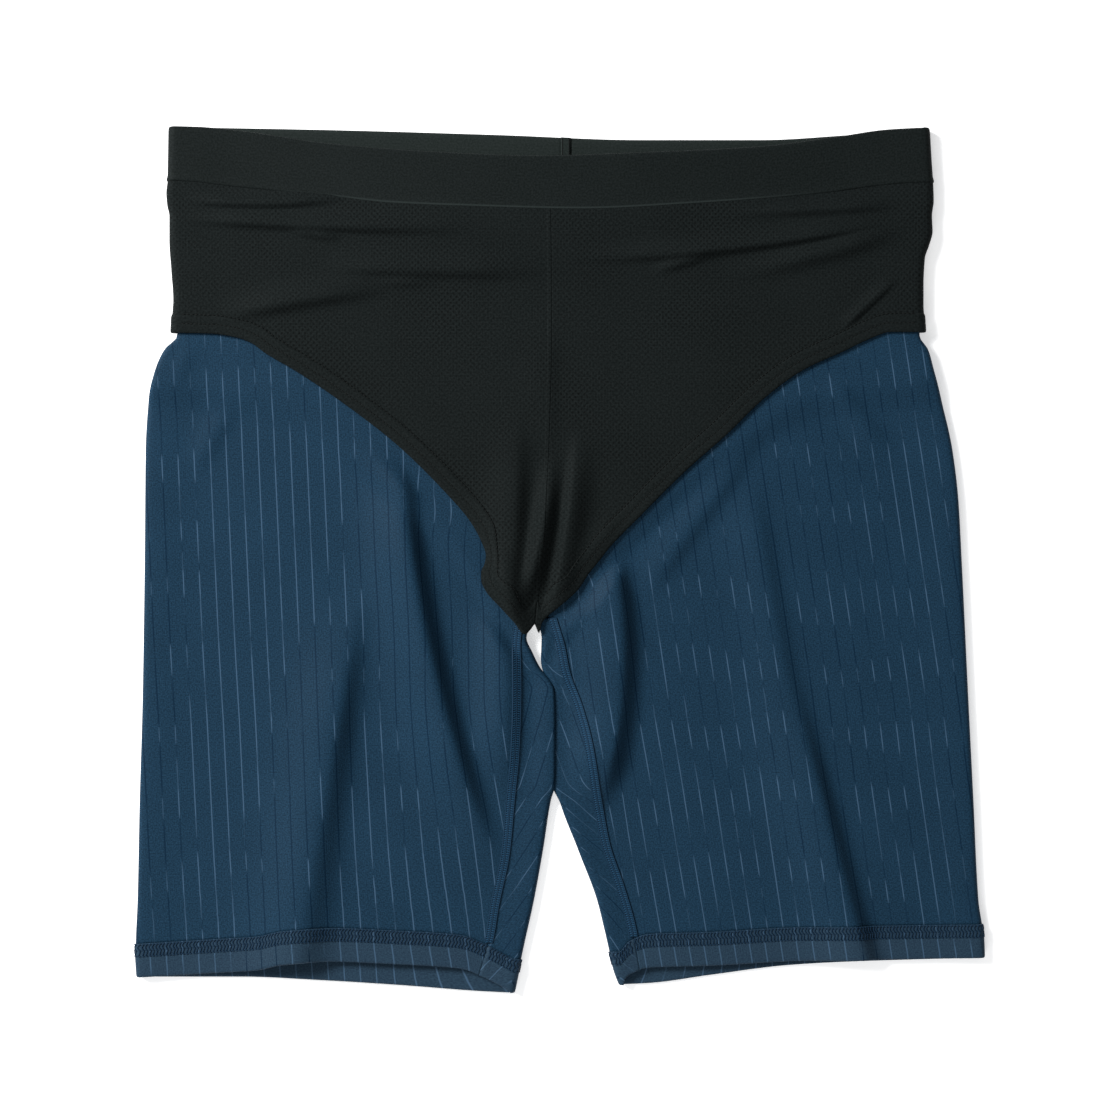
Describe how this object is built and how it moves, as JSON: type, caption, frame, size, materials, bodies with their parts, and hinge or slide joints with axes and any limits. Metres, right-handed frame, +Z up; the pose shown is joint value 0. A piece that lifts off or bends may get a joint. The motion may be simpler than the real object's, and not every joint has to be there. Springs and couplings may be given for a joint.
{
  "type": "half tights",
  "caption": "Half tights lying flat and inside out: tubular legs in striped stretch jersey that end above the knee, with an inner brief of mesh knit and an elastic waistband.",
  "frame": {"origin": "middle of the garment's outline, on the surface it lies on", "axes": "+Z up from the surface, +Y from the leg hems to the waist, +X to the right as seen from above with the waist away"},
  "size_m": [0.4424, 0.4512, 0.0136],
  "materials": {
    "leg_cloth": "matt stretch jersey, navy blue, with fine glossy stripes",
    "seam_thread": "matt stitched seam, navy blue",
    "mesh_knit": "matt fine mesh knit, black",
    "elastic": "matt smooth elastic jersey, black"
  },
  "bodies": {
    "root": {"leg_left": "leg_cloth", "leg_right": "leg_cloth", "leg_hem_left": "leg_cloth", "leg_hem_right": "leg_cloth", "inseam_left": "seam_thread", "inseam_right": "seam_thread", "brief_front_left": "mesh_knit", "brief_front_right": "mesh_knit", "brief_edge_left": "mesh_knit", "brief_edge_right": "mesh_knit", "brief_centre_seam": "mesh_knit", "brief_back": "mesh_knit", "waistband": "elastic", "waistband_back_seam": "elastic"}
  },
  "joints": []
}
